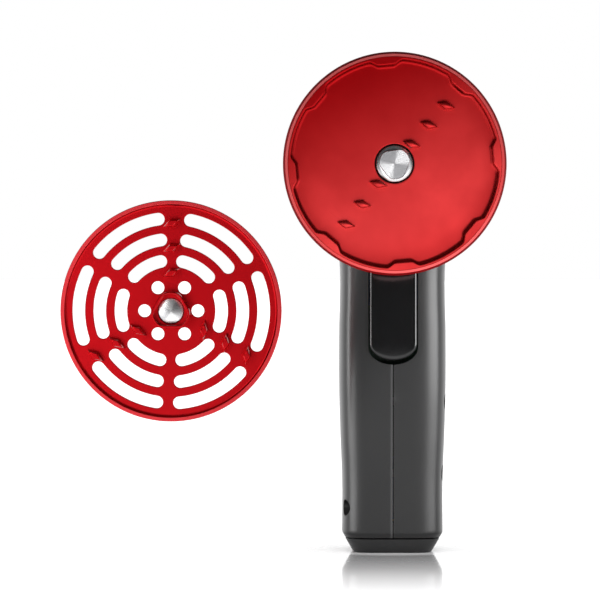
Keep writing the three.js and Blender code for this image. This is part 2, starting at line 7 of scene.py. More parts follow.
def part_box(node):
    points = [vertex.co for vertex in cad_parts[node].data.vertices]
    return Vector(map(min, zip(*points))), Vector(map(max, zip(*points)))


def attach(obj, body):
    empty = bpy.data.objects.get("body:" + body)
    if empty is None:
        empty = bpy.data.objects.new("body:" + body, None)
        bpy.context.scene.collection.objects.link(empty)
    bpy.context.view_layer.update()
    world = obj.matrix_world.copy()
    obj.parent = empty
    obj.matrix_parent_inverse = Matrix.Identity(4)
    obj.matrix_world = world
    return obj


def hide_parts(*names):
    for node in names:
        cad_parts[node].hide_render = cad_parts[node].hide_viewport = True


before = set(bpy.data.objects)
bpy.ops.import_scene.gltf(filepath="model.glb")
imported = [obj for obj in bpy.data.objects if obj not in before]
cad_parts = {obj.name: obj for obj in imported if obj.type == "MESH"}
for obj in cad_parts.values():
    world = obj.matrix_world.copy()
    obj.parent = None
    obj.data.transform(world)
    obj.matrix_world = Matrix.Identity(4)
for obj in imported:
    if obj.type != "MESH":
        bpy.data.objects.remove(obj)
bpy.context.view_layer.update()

mm = 0.001
tau = 2 * math.pi


# places that everything else is measured from, in millimetres
def boxOf(node):
    low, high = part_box(node)
    return low / mm, high / mm


headLow, headHigh = boxOf("grinder_head")
plateLow, plateHigh = boxOf("grinding_plate")
triggerLow, triggerHigh = boxOf("trigger")
shaftLow, shaftHigh = boxOf("drive_shaft")
magnetLow, magnetHigh = boxOf("plate_magnet")
axisZ = (headLow.z + headHigh.z) / 2
rimY = headLow.y
headCentre = Vector((0, rimY, axisZ))
plateCentre = Vector(((plateLow.x + plateHigh.x) / 2, rimY, (plateLow.z + plateHigh.z) / 2))
caseSeam = 0.2


def placed(name, data):
    made = bpy.data.objects.new(name, data)
    bpy.context.scene.collection.objects.link(made)
    return made


# millimetres and degrees; the aim is measured from the middle of the head's rim
view = {
    "elevation": 1.2, "turn": 0.0, "distance": 1200, "frameWidth": 147.4, "aimX": -23.3, "aimZ": -33.5,
    "sensor": 36,
}


def placeCamera():
    data = bpy.data.cameras.new("camera")
    camera = placed("camera", data)
    data.sensor_width = view["sensor"]
    data.lens = view["sensor"] * view["distance"] / view["frameWidth"]
    data.clip_end = 20
    aim = (headCentre + Vector((view["aimX"], 0, view["aimZ"]))) * mm
    turn, rise = math.radians(view["turn"]), math.radians(view["elevation"])
    away = Vector((math.sin(turn) * math.cos(rise), -math.cos(turn) * math.cos(rise), math.sin(rise)))
    camera.location = aim + away * view["distance"] * mm
    camera.rotation_euler = (-away).to_track_quat("-Z", "Y").to_euler()
    bpy.context.scene.camera = camera


placeCamera()
bpy.context.scene.view_settings.view_transform = "Standard"
print("camera placed")


# a shader socket that can be used in ordinary sums
class shaderValue:
    def __init__(self, tree, socket):
        self.tree, self.socket = tree, socket

    def combine(self, operation, first, second=0.0):
        node = self.tree.nodes.new("ShaderNodeMath")
        node.operation = operation
        for slot, value in zip(node.inputs, (first, second)):
            feed(self.tree, slot, value)
        return shaderValue(self.tree, node.outputs[0])

    def __add__(self, other):
        return self.combine("ADD", self, other)

    def __sub__(self, other):
        return self.combine("SUBTRACT", self, other)

    def __rsub__(self, other):
        return self.combine("SUBTRACT", other, self)

    def __mul__(self, other):
        return self.combine("MULTIPLY", self, other)

    def __truediv__(self, other):
        return self.combine("DIVIDE", self, other)

    def __pow__(self, other):
        return self.combine("POWER", self, other)

    __radd__ = __add__
    __rmul__ = __mul__

    def above(self, edge, soft):
        step = self.tree.nodes.new("ShaderNodeMapRange")
        step.interpolation_type = "SMOOTHSTEP"
        feed(self.tree, step.inputs["Value"], self)
        step.inputs["From Min"].default_value = edge - soft
        step.inputs["From Max"].default_value = edge + soft
        return shaderValue(self.tree, step.outputs["Result"])


def feed(tree, slot, value):
    if isinstance(value, shaderValue):
        tree.links.new(value.socket, slot)
    else:
        slot.default_value = value


class finish:
    def __init__(self, name, colour, metallic=0.0, roughness=0.4, coat=0.0, coatRoughness=0.1, specular=0.5):
        self.material = bpy.data.materials.new(name)
        self.material.use_nodes = True
        self.tree = self.material.node_tree
        self.shader = next(n for n in self.tree.nodes if n.type == "BSDF_PRINCIPLED")
        self.set("Base Color", (*colour, 1))
        self.set("Metallic", metallic)
        self.set("Roughness", roughness)
        self.set("Coat Weight", coat)
        self.set("Coat Roughness", coatRoughness)
        self.set("Specular IOR Level", specular)

    def set(self, socket, value):
        feed(self.tree, self.shader.inputs[socket], value)

    def node(self, kind, settings=None, inputs=None, output=0):
        made = self.tree.nodes.new(kind)
        for key, value in (settings or {}).items():
            setattr(made, key, value)
        for key, value in (inputs or {}).items():
            feed(self.tree, made.inputs[key], value)
        return shaderValue(self.tree, made.outputs[output])

    def place(self, origin=(0, 0, 0)):
        coords = self.node("ShaderNodeTexCoord", output="Object")
        offset = [-v * mm for v in origin]
        moved = self.node("ShaderNodeVectorMath", {"operation": "ADD"}, {0: coords, 1: offset})
        return self.node("ShaderNodeVectorMath", {"operation": "SCALE"}, {0: moved, "Scale": 1 / mm})

    def parts(self, vector):
        split = self.tree.nodes.new("ShaderNodeSeparateXYZ")
        feed(self.tree, split.inputs[0], vector)
        return [shaderValue(self.tree, out) for out in split.outputs]

    def noise(self, vector, scale, detail=3.0, roughness=0.5):
        inputs = {"Vector": vector, "Scale": scale, "Detail": detail, "Roughness": roughness}
        return self.node("ShaderNodeTexNoise", None, inputs)

    def vector(self, x, y, z):
        return self.node("ShaderNodeCombineXYZ", None, {0: x, 1: y, 2: z})

    def blendColour(self, factor, first, second):
        node = self.tree.nodes.new("ShaderNodeMix")
        node.data_type = "RGBA"
        feed(self.tree, node.inputs[0], factor)
        feed(self.tree, node.inputs[6], first if isinstance(first, shaderValue) else (*first[:3], 1))
        feed(self.tree, node.inputs[7], second if isinstance(second, shaderValue) else (*second[:3], 1))
        return shaderValue(self.tree, node.outputs[2])

    def bump(self, height, strength, distance=0.02):
        inputs = {"Strength": strength, "Distance": distance * mm, "Height": height}
        self.set("Normal", self.node("ShaderNodeBump", None, inputs))


# painted light and shade on the head: the colour changes along one direction towards the lower right,
# standing in for how the light falls there, and painted shade darkens the foot of the bowl's wall on that
# side; the other pairs are a place in mm and how softly it changes there
paintedLight = {
    "down": (0.4, -0.92), "start": (-5, 22), "lowest": (20, 8), "back": 0.5,
    "footRadius": (23.2, 2.6), "footDepth": (4, 0.5), "foot": 0.6,
}


# turned and anodised alloy: rings from the tool, a few hairline scratches, a cloudy tone in the anodising
# and, where a lower-right colour is given, painted light: the colour moves towards it on the lower right,
# with painted shade at the foot of the bowl's wall there
def redAlloy(name, centre, colour, roughness=0.3, coat=0.08, paintedLowerRight=None, metallic=1.0, specular=0.5):
    f = finish(name, colour, metallic, roughness, coat, 0.22, specular)
    at = f.place(centre)
    x, y, z = f.parts(at)
    radius = (x * x + z * z) ** 0.5
    rings = f.noise(f.vector(radius * 6.0, 0.0, 0.0), 1.0, detail=4.0)
    cloud = f.noise(at, 0.09, detail=3.0)
    speck = f.noise(at, 6.0, detail=2.0)
    across = (x * 0.62 + z * 0.78) * 9.0
    along = (x * 0.78 - z * 0.62) * 0.16
    scratch = f.noise(f.vector(across, along, y), 1.0, detail=1.0).above(0.74, 0.02)
    dark = [c * 0.72 for c in colour]
    light = [min(1, c * 1.12 + 0.012) for c in colour]
    # painted light: towards the lower right the colour moves to the given one; painted shade darkens the
    # foot of the bowl's wall on that side
    if paintedLowerRight:
        down = x * paintedLight["down"][0] + z * paintedLight["down"][1]
        lower = down.above(*paintedLight["start"]) * (1 - down.above(*paintedLight["lowest"]) * paintedLight["back"])
        foot = radius.above(*paintedLight["footRadius"]) * y.above(*paintedLight["footDepth"]) * lower
        colour = f.blendColour(foot * paintedLight["foot"], f.blendColour(lower, colour, paintedLowerRight), dark)
    tone = f.blendColour(cloud.above(0.5, 0.25) * 0.3, colour, dark)
    f.set("Base Color", f.blendColour(scratch * 0.35 + rings * 0.12, tone, light))
    f.set("Roughness", roughness - 0.05 + rings * 0.07 + speck * 0.04 + cloud * 0.05)
    f.bump(rings * 0.6 + speck * 0.25 - scratch * 0.5, 0.12, 0.012)
    return f.material


# steel faced on a lathe: fine rings about the axis, a painted highlight in two opposite fans with painted
# shade between them, and one even grey beyond the radius collarFrom
def facedSteel(name, centre, highlightAngle, collarFrom, fanHighlight=(0.88, 0.88, 0.89), fanShade=(0.30, 0.30, 0.31)):
    f = finish(name, fanHighlight, metallic=1.0, roughness=0.24)
    at = f.place(centre)
    x, y, z = f.parts(at)
    radius = (x * x + z * z) ** 0.5
    rings = f.node("ShaderNodeMath", {"operation": "SINE"}, {0: radius * 26.0})
    grain = f.noise(f.vector(radius * 9.0, 0.0, 0.0), 1.0, detail=3.0)
    smudge = f.noise(at, 0.5, detail=2.0)
    # painted highlight: the colour is brighter in the two opposite fans about the given angle and darker
    # between them
    lead = x * math.cos(math.radians(highlightAngle)) + z * math.sin(math.radians(highlightAngle))
    shine = (lead * lead / (radius * radius + 0.01)).above(0.6, 0.28)
    face = f.blendColour(shine * 0.85 + grain * 0.15, fanShade, fanHighlight)
    f.set("Base Color", f.blendColour(radius.above(collarFrom, 0.02), face, (0.60, 0.59, 0.59)))
    f.set("Roughness", 0.2 + grain * 0.06 + smudge * 0.04)
    f.bump(rings * 0.6 + grain * 0.4, 0.12, 0.01)
    return f.material


# turned or rolled metal: streaks along one axis and a cloudy tone
def streakedMetal(name, colour, roughness=0.3, along=(1.0, 12.0, 1.0)):
    f = finish(name, colour, metallic=1.0, roughness=roughness)
    at = f.place()
    stretched = f.node("ShaderNodeVectorMath", {"operation": "MULTIPLY"}, {0: at, 1: along})
    streak = f.noise(stretched, 1.2, detail=4.0)
    cloud = f.noise(at, 0.4, detail=2.0)
    f.set("Base Color", f.blendColour(cloud * 0.45, colour, [c * 0.7 for c in colour]))
    f.set("Roughness", roughness - 0.06 + streak * 0.16 + cloud * 0.05)
    f.bump(streak, 0.25, 0.015)
    return f.material


# the painted highlight line beside the seam, from one x to another in mm, each with how softly it ends
seamHighlight = {"from": (-0.66, 0.1), "to": (-0.12, 0.03), "colour": (0.035, 0.035, 0.036)}


# moulded case: spark-eroded grain, faint handling shine, and a paler line beside the seam as a painted
# highlight
def mouldedCase(name, colour=(0.0062, 0.0062, 0.0064), roughness=0.33, seamLine=0.0):
    f = finish(name, colour, roughness=roughness)
    at = f.place()
    x, y, z = f.parts(at)
    grain = f.noise(at, 7.0, detail=3.0, roughness=0.6)
    fine = f.noise(at, 22.0, detail=1.0)
    shine = f.noise(at, 0.07, detail=3.0)
    tone = f.blendColour(shine.above(0.5, 0.2) * 0.5 + grain * 0.2, colour, [c * 1.35 for c in colour])
    # painted highlight: a paler line just left of the seam
    seamHighlightMask = x.above(*seamHighlight["from"]) * (1 - x.above(*seamHighlight["to"])) * seamLine
    f.set("Base Color", f.blendColour(seamHighlightMask, tone, seamHighlight["colour"]))
    f.set("Roughness", roughness - 0.05 + grain * 0.07 + shine * 0.07)
    f.bump(grain * 0.7 + fine * 0.3, 0.16, 0.02)
    return f.material


# polished plastic with a faint smear and a little dust
def glossyBlack(name, colour=(0.003, 0.003, 0.0032)):
    f = finish(name, colour, roughness=0.12, coat=0.35, coatRoughness=0.08, specular=0.4)
    at = f.place()
    smear = f.noise(at, 0.22, detail=4.0)
    dust = f.noise(at, 16.0, detail=1.0).above(0.72, 0.03)
    f.set("Base Color", f.blendColour(dust * 0.4, colour, (0.03, 0.03, 0.031)))
    f.set("Roughness", 0.07 + smear * 0.12 + dust * 0.2)
    f.bump(smear * 0.4 + dust * 0.2, 0.06, 0.02)
    return f.material


# a plain moulded or rubber part with cloudy colour and fine grain
def softGrain(name, colour, roughness, scale=5.0, depth=0.2):
    f = finish(name, colour, roughness=roughness)
    at = f.place()
    grain = f.noise(at, scale, detail=4.0)
    cloud = f.noise(at, 0.3, detail=2.0)
    f.set("Base Color", f.blendColour(cloud * 0.6, colour, [c * 0.7 for c in colour]))
    f.set("Roughness", roughness - 0.08 + grain * 0.16)
    f.bump(grain, depth, 0.02)
    return f.material


# green lacquer over copper tracks
def circuitBoard(name, lacquer=(0.012, 0.10, 0.04), copper=(0.05, 0.20, 0.07)):
    f = finish(name, lacquer, roughness=0.35, coat=0.3)
    at = f.place()
    tracks = f.node("ShaderNodeTexBrick", None, {"Vector": at, "Scale": 0.55}, output="Fac")
    mottled = f.noise(at, 2.0, detail=3.0)
    f.set("Base Color", f.blendColour(tracks * 0.8, lacquer, copper))
    f.set("Roughness", 0.25 + mottled * 0.2)
    f.bump(tracks, 0.2, 0.03)
    return f.material


paint = {
    # the head's red carries painted light that changes towards the lower right and painted shade at the
    # wall's foot
    "headRed": redAlloy("head red", headCentre, (0.39, 0.001, 0.003), paintedLowerRight=(0.72, 0.045, 0.045)),
    # painted shade: a darker, almost unreflecting copy of the head's red on the outer rounded edge, standing
    # in for the dark band that edge reflects
    "headShadedEdge": redAlloy("head shaded edge", headCentre, (0.30, 0.002, 0.004), 0.5, 0.0,
                         metallic=0.08, specular=0.02),
    # painted highlight: a much lighter copy of the head's red on the thin lip, standing in for the bright
    # line the lip catches
    "headLipHighlight": redAlloy("head lip highlight", headCentre, (0.97, 0.17, 0.17), 0.36, 0.0, paintedLowerRight=(0.72, 0.06, 0.06)),
    "plateRed": redAlloy("plate red", plateCentre, (0.62, 0.005, 0.010)),
    # painted highlight: a lighter copy of the plate's red on the rim's front, standing in for the bright
    # band the rim shows
    "plateRim": redAlloy("plate rim", plateCentre, (0.84, 0.05, 0.06)),
    # the faced ends of the nose and the magnet carry painted highlight fans
    "noseSteel": facedSteel("nose steel", headCentre, 38, 3.84),
    "magnetSteel": facedSteel("magnet steel", plateCentre, 100, 9, (1, 1, 1), (0.5, 0.5, 0.51)),
    "case": mouldedCase("case plastic", seamLine=0.8),
    "capPlastic": mouldedCase("cap plastic", roughness=0.40),
    "trigger": glossyBlack("trigger gloss"),
    "steel": streakedMetal("bright steel", (0.58, 0.58, 0.59), 0.28),
    "darkSteel": streakedMetal("zinc plate", (0.17, 0.17, 0.18), 0.42),
    "canSteel": streakedMetal("can steel", (0.50, 0.50, 0.51), 0.34, along=(0.6, 14.0, 0.6)),
    "brass": streakedMetal("brass", (0.60, 0.42, 0.16), 0.3),
    "rubber": softGrain("rubber", (0.018, 0.018, 0.018), 0.7),
    "nylon": softGrain("nylon", (0.72, 0.71, 0.67), 0.5, scale=3.0),
    "sleeve": softGrain("cell sleeve", (0.03, 0.13, 0.32), 0.35, scale=0.8, depth=0.1),
    "board": circuitBoard("board"),
}
print("finishes made")


def addObject(name, mesh, *finishes):
    made = placed(name, mesh)
    for one in finishes:
        mesh.materials.append(one)
    return made


# merges points that meet and turns every face outwards
def closeUp(mesh):
    bm = bmesh.new()
    bm.from_mesh(mesh)
    bmesh.ops.remove_doubles(bm, verts=bm.verts, dist=1e-7)
    bmesh.ops.recalc_face_normals(bm, faces=bm.faces)
    bm.to_mesh(mesh)
    bm.free()


def meshFrom(name, points, faces):
    mesh = bpy.data.meshes.new(name)
    mesh.from_pydata([Vector(p) * mm for p in points], [], faces)
    closeUp(mesh)
    return mesh


def smoothBelow(mesh, degrees):
    mesh.shade_smooth()
    mesh.set_sharp_from_angle(angle=math.radians(degrees))


def polar(radius, angle, centre=(0, 0)):
    return centre[0] + radius * math.cos(angle), centre[1] + radius * math.sin(angle)


# an outline with its corners rounded; a fourth number sets a ring that far outside the round,
# which keeps the flats beside it looking flat
def roundCorners(corners, steps=5):
    path = []
    count = len(corners)
    for i, (u, v, radius, *more) in enumerate(corners):
        guard = more[0] if more else 0
        here = Vector((u, v))
        if radius == 0:
            path.append((u, v))
            continue
        back = Vector(corners[i - 1][:2]) - here
        ahead = Vector(corners[(i + 1) % count][:2]) - here
        before, after = back.normalized(), ahead.normalized()
        half = math.acos(max(-1, min(1, before.dot(after)))) / 2
        reach = radius / math.tan(half)
        if guard:
            path.append(tuple(here + before * (reach + guard)))
        centre = here + (before + after).normalized() * (radius / math.sin(half))
        start = here + before * reach - centre
        end = here + after * reach - centre
        sweep = start.angle_signed(end)
        for k in range(steps + 1):
            turn = -sweep * k / steps
            x = start.x * math.cos(turn) - start.y * math.sin(turn)
            y = start.x * math.sin(turn) + start.y * math.cos(turn)
            path.append((centre.x + x, centre.y + y))
        if guard:
            path.append(tuple(here + after * (reach + guard)))
    return path


# flat faces across the head's direction keep one even shade up to their rounded edges
def creaseFlats(mesh):
    bm = bmesh.new()
    bm.from_mesh(mesh)
    for edge in bm.edges:
        flat = [abs(face.normal.y) > 0.9995 for face in edge.link_faces]
        if len(flat) == 2 and flat[0] != flat[1]:
            edge.smooth = False
    bm.to_mesh(mesh)
    bm.free()


# rings of points about the head's direction: outlineAt gives (radius, depth behind the rim) at an angle
def spun(name, centre, outlineAt, count=128, closed=True):
    rings = [outlineAt(tau * k / count) for k in range(count)]
    size = len(rings[0])
    points = []
    for k, ring in enumerate(rings):
        angle = tau * k / count
        for r, depth in ring:
            x, z = polar(r, angle)
            points.append(centre + Vector((x, depth, z)))
    faces = []
    for k in range(count):
        nextRing = (k + 1) % count
        for i in range(size if closed else size - 1):
            j = (i + 1) % size
            faces.append((k * size + i, k * size + j, nextRing * size + j, nextRing * size + i))
    return meshFrom(name, points, faces)


# a stack of rings with the same number of points, closed at both ends
def stacked(name, rings):
    count = len(rings[0])
    points = [p for ring in rings for p in ring]
    faces = []
    for k in range(len(rings) - 1):
        for i in range(count):
            j = (i + 1) % count
            faces.append((k * count + i, k * count + j, (k + 1) * count + j, (k + 1) * count + i))
    faces.append(tuple(range(count)))
    faces.append(tuple(range((len(rings) - 1) * count, len(rings) * count)))
    return meshFrom(name, points, faces)


def joined(name, meshes):
    bm = bmesh.new()
    for mesh in meshes:
        bm.from_mesh(mesh)
    whole = bpy.data.meshes.new(name)
    bm.to_mesh(whole)
    bm.free()
    return whole


def evaluated(obj, name):
    graph = bpy.context.evaluated_depsgraph_get()
    mesh = bpy.data.meshes.new_from_object(obj.evaluated_get(graph), depsgraph=graph)
    mesh.name = name
    for modifier in list(obj.modifiers):
        obj.modifiers.remove(modifier)
    return mesh


def discard(*objects):
    for obj in objects:
        bpy.data.objects.remove(obj)


# a Geometry Nodes tree with named inputs, which gives a finished mesh
class nodeTree:
    def __init__(self, name, inputs):
        self.tree = bpy.data.node_groups.new(name, "GeometryNodeTree")
        self.tree.interface.new_socket("Geometry", in_out="OUTPUT", socket_type="NodeSocketGeometry")
        self.names = {}
        for label, (kind, value) in inputs.items():
            socket = self.tree.interface.new_socket(label, in_out="INPUT", socket_type="NodeSocket" + kind)
            if value is not None:
                socket.default_value = value
            self.names[label] = socket.identifier
        self.enter = self.tree.nodes.new("NodeGroupInput")
        self.leave = self.tree.nodes.new("NodeGroupOutput")

    def given(self, label):
        return self.enter.outputs[label]

    def node(self, kind, settings=None, inputs=None):
        made = self.tree.nodes.new(kind)
        for key, value in (settings or {}).items():
            setattr(made, key, value)
        for key, value in (inputs or {}).items():
            if isinstance(value, bpy.types.NodeSocket):
                self.tree.links.new(value, made.inputs[key])
            else:
                made.inputs[key].default_value = value
        return made

    def vector(self, x=0.0, y=0.0, z=0.0):
        return self.node("ShaderNodeCombineXYZ", None, {0: x, 1: y, 2: z}).outputs[0]

    def maths(self, operation, first, second):
        return self.node("ShaderNodeMath", {"operation": operation}, {0: first, 1: second}).outputs[0]

    def finishWith(self, geometry, material):
        real = self.node("GeometryNodeRealizeInstances", None, {0: geometry})
        shown = self.node("GeometryNodeSetMaterial", None, {
            "Geometry": real.outputs[0], "Material": material})
        self.tree.links.new(shown.outputs[0], self.leave.inputs[0])

    def meshWith(self, name, values, extra=None):
        holder = placed(name, bpy.data.meshes.new(name))
        modifier = holder.modifiers.new("nodes", "NODES")
        modifier.node_group = self.tree
        for label, value in values.items():
            modifier[self.names[label]] = value
        if extra:
            extra(holder)
        mesh = evaluated(holder, name)
        discard(holder)
        return mesh


# one straight row of diamond teeth, standing along +Z from the origin
def toothRowTree():
    g = nodeTree("tooth row", {
        "Count": ("Int", 3), "First": ("Float", 6.4), "Step": ("Float", 6.4), "Length": ("Float", 4.2),
        "Width": ("Float", 1.9), "Height": ("Float", 4.5), "Turn": ("Float", 0.4), "Foot": ("Float", 1.1),
        "Crest": ("Float", 0.7), "Material": ("Material", None)})
    cone = g.node("GeometryNodeMeshCone", None, {
        "Vertices": 4, "Radius Top": g.maths("MULTIPLY", g.given("Crest"), 0.5),
        "Radius Bottom": g.maths("MULTIPLY", g.given("Foot"), 0.5), "Depth": g.given("Height")})
    size = g.vector(g.given("Width"), g.given("Length"), 1.0)
    wide = g.node("GeometryNodeTransform", None, {"Geometry": cone.outputs[0], "Scale": size})
    tooth = g.node("GeometryNodeTransform", None, {
        "Geometry": wide.outputs[0], "Rotation": g.vector(z=g.given("Turn"))})
    line = g.node("GeometryNodeMeshLine", None, {
        "Count": g.given("Count"), "Start Location": g.vector(g.given("First")),
        "Offset": g.vector(g.given("Step"))})
    placed = g.node("GeometryNodeInstanceOnPoints", None, {
        "Points": line.outputs[0], "Instance": tooth.outputs[0]})
    g.finishWith(placed.outputs[0], g.given("Material"))
    return g


# a screw head with a cross cut into it, standing along +Z with its middle at the origin
def screwTree():
    g = nodeTree("screw heads", {
        "Radius": ("Float", 2.4), "Height": ("Float", 1.4), "Recess": ("Float", 0.9),
        "Slot": ("Float", 0.55), "Material": ("Material", None)})
    body = g.node("GeometryNodeMeshCylinder", None, {
        "Vertices": 40, "Radius": g.given("Radius"), "Depth": g.given("Height")})
    long, slot = g.maths("MULTIPLY", g.given("Radius"), 1.15), g.given("Slot")
    lift = g.vector(z=g.maths("MULTIPLY", g.given("Height"), 0.5))
    cutter = g.node("GeometryNodeMeshBoolean", {"operation": "UNION", "solver": "EXACT"})
    for x, y in ((long, slot), (slot, long)):
        bar = g.node("GeometryNodeMeshCube", None, {"Size": g.vector(x, y, g.given("Recess"))})
        up = g.node("GeometryNodeTransform", None, {"Geometry": bar.outputs[0], "Translation": lift})
        g.tree.links.new(up.outputs[0], cutter.inputs["Mesh 2"])
    head = g.node("GeometryNodeMeshBoolean", {"operation": "DIFFERENCE", "solver": "EXACT"}, {
        0: body.outputs[0]})
    g.tree.links.new(cutter.outputs[0], head.inputs["Mesh 2"])
    g.finishWith(head.outputs[0], g.given("Material"))
    return g


toothRows = toothRowTree()
screwHeads = screwTree()


# gives a modifier to add: edges sharper than the angle are rounded by the width in mm
def bevelled(width, segments=2, angle=40):
    def add(obj):
        edge = obj.modifiers.new("edge", "BEVEL")
        edge.width = width * mm
        edge.segments = segments
        edge.limit_method = "ANGLE"
        edge.angle_limit = math.radians(angle)
    return add


# one row for each angle, laid over so that the teeth stand towards the front
def teeth(name, centre, spec, baseDepth, material):
    sunk = 0.3
    rows = []
    for angle in spec["angles"]:
        values = {
            "Count": len(spec["radii"]), "First": spec["radii"][0] * mm,
            "Step": (spec["radii"][1] - spec["radii"][0]) * mm, "Length": spec["length"] * mm,
            "Width": spec["width"] * mm, "Height": (spec["height"] + sunk) * mm,
            "Turn": math.radians(spec["turn"]), "Foot": spec["foot"], "Crest": spec["crest"],
            "Material": material}
        row = toothRows.meshWith(name, values, bevelled(spec["edge"]))
        spin = Matrix.Rotation(math.radians(angle), 4, "Z")
        stand = Matrix.Rotation(math.radians(90), 4, "X")
        middle = centre + Vector((0, baseDepth + sunk, 0))
        row.transform(Matrix.Translation(middle * mm) @ stand @ spin)
        rows.append(row)
    return rows


head = {
    "radius": 27.5, "side": 11.0, "bowl": 5.0, "floor": 3.0, "bore": 4.86, "seal": 6.6, "skirt": 25.0,
    "scallop": 25.6, "lobe": 24.3, "lobes": 8, "firstLobe": 5.0, "lobeHalf": 4.4, "ramp": 5.2,
    "foot": 0.65, "lipIn": 26.35, "lipOut": 26.95, "lipFall": 0.05, "edgeDepth": 2.2,
}
headTeeth = {
    "length": 4.2, "width": 1.9, "turn": 25, "radii": [6.4, 12.75, 19.1], "angles": [48.4, 231.5],
    "height": 4.5, "foot": 1.16, "crest": 0.95, "edge": 0.24,
}


# the bowl's wall: a round with flat lobes that stand into it
def scallopRadius(angle):
    pitch = 360 / head["lobes"]
    off = (math.degrees(angle) - head["firstLobe"] + pitch / 2) % pitch - pitch / 2
    t = min(1, max(0, (abs(off) - head["lobeHalf"]) / head["ramp"]))
    t = t * t * (3 - 2 * t)
    flat = head["lobe"] * math.cos(math.radians(head["lobeHalf"])) / math.cos(math.radians(off))
    return flat + (head["scallop"] - flat) * t


# radius, depth behind the rim, rounding and guard ring of each corner
def headOutline(angle):
    wallR = scallopRadius(angle)
    floorD, backD = head["bowl"], head["bowl"] + head["floor"]
    radius, side, skirt = head["radius"], head["side"], head["skirt"]
    seal, bore, lipIn = head["seal"], head["bore"], head["lipIn"]
    return roundCorners([
        (bore, floorD, 0.12, 0.2), (wallR, floorD, head["foot"], 0.25), (wallR, 0, 0.25, 0.2),
        (lipIn - 0.12, 0, 0), (lipIn - 0.06, 0.1, 0), (lipIn, 0.02, 0),
        (head["lipOut"], head["lipFall"], 0), (radius, 1.3, 0.4), (radius, side - 0.6, 0.25, 0.2),
        (radius - 0.6, side, 0.25, 0.1), (skirt, side, 0.25, 0.2), (skirt, backD, 0.5, 0.2),
        (seal, backD, 0.15, 0.2), (seal, floorD + 0.6, 0), (bore, floorD + 0.6, 0)])


def makeHead():
    shell = spun("head shell", headCentre, headOutline, count=384)
    rows = teeth("head tooth", headCentre, headTeeth, head["bowl"], paint["headRed"])
    whole = joined("grinding head", [shell, *rows])
    smoothBelow(whole, 32)
    piece = addObject("grindingHead", whole, paint["headRed"], paint["headShadedEdge"], paint["headLipHighlight"])
    lipFrom, edgeFrom = (head["lipIn"] - 0.02) * mm, (head["lipOut"] - 0.02) * mm
    # faces on the outer rounded edge take the painted-shade red, those on the thin lip the painted-highlight
    # red
    for face in whole.polygons:
        out = face.center - headCentre * mm
        away = math.hypot(out.x, out.z)
        if out.y < head["edgeDepth"] * mm and away > lipFrom:
            face.material_index = 1 if away > edgeFrom else 2
        else:
            face.material_index = 0
    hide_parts("grinder_head")
    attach(piece, "handle")


makeHead()
print("head made")


nose = {
    "corner": 3.88, "flat": 3.3, "collar": 4.5, "collarDepth": 4.0, "collarBack": 5.5, "tip": 1.0,
    "journal": 2.5, "bevel": 0.13,
}


# three flats that run smoothly into a round
def noseRadius(angle, corner, flat, turn, sharpness=22):
    off = (math.degrees(angle) - turn) % 120 - 60
    straight = flat / math.cos(math.radians(off))
    return (corner ** -sharpness + straight ** -sharpness) ** (-1 / sharpness)


# the flats stand so that the plate's pocket fits them once the plate is turned over
plateRise = math.degrees(math.atan2(headCentre.z - plateCentre.z, headCentre.x - plateCentre.x))
noseTurn = 2 * plateRise - 30


def makeShaft():
    def outline(angle):
        r = noseRadius(angle, nose["corner"], nose["flat"], noseTurn)
        tip, bevel, journal = nose["tip"], nose["bevel"], nose["journal"]
        collar, front, rear = nose["collar"], nose["collarDepth"], nose["collarBack"]
        back = shaftHigh.y - rimY
        return [
            (0, tip), (r - bevel, tip), (r, tip + bevel), (r, front), (collar - 0.5, front),
            (collar - 0.1, front + 0.12), (collar, front + 0.4), (collar, rear), (journal, rear),
            (journal, back), (0, back)]
    mesh = spun("drive shaft", headCentre, outline, count=180, closed=False)
    smoothBelow(mesh, 30)
    piece = addObject("driveShaft", mesh, paint["noseSteel"])
    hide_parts("drive_shaft")
    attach(piece, "shaft")


makeShaft()


plate = {
    "radius": 27.2, "rimWall": 1.0, "rimEdge": 0.4, "face": 2.2, "back": 4.2, "slot": 3.08, "edge": 0.14,
    "backing": 0.9, "overlap": 0.45,
    # radius, angle of the first toothed spoke, half widths of a toothed and a plain spoke in degrees
    "rings": [(22.76, 88, 10, 7), (17.6, 88, 10.3, 9.2), (12.4, 89.5, 12.4, 12.4)],
    # radius of the ring, radius of a hole, how many
    "holes": (6.56, 1.58, 6),
    # corner and flat of each rounded triangle
    "boss": (4.75, 4.2), "pocket": (4.3, 3.45), "bossEnd": -3.6, "bossTurn": 90, "magnetHole": 3.22,
}
plateTeeth = {
    "length": 4.4, "width": 2.0, "turn": 24, "radii": [9.4, 15.5, 21.6], "angles": [89.5, 210.5, 329.5],
    "height": 4.5, "foot": 1.2, "crest": 0.8, "edge": 0.2,
}


def circlePath(radius, centre=(0, 0), count=64):
    return [polar(radius, tau * k / count, centre) for k in range(count)]


# a slot bent round the middle, with round ends
def slotPath(radius, startDegrees, endDegrees, width, steps=28, capSteps=12):
    start, end = math.radians(startDegrees), math.radians(endDegrees)
    half = width / 2
    path = []
    for side, first, last in ((half, start, end), (-half, end, start)):
        path += [polar(radius + side, first + (last - first) * k / steps) for k in range(steps + 1)]
        capFrom, middle = last if side > 0 else last + math.pi, polar(radius, last)
        path += [polar(half, capFrom + math.pi * k / capSteps, middle) for k in range(1, capSteps)]
    return path


def trianglePath(corner, flat, count=120):
    turns = [tau * k / count for k in range(count)]
    return [polar(noseRadius(a, corner, flat, plate["bossTurn"]), a) for a in turns]


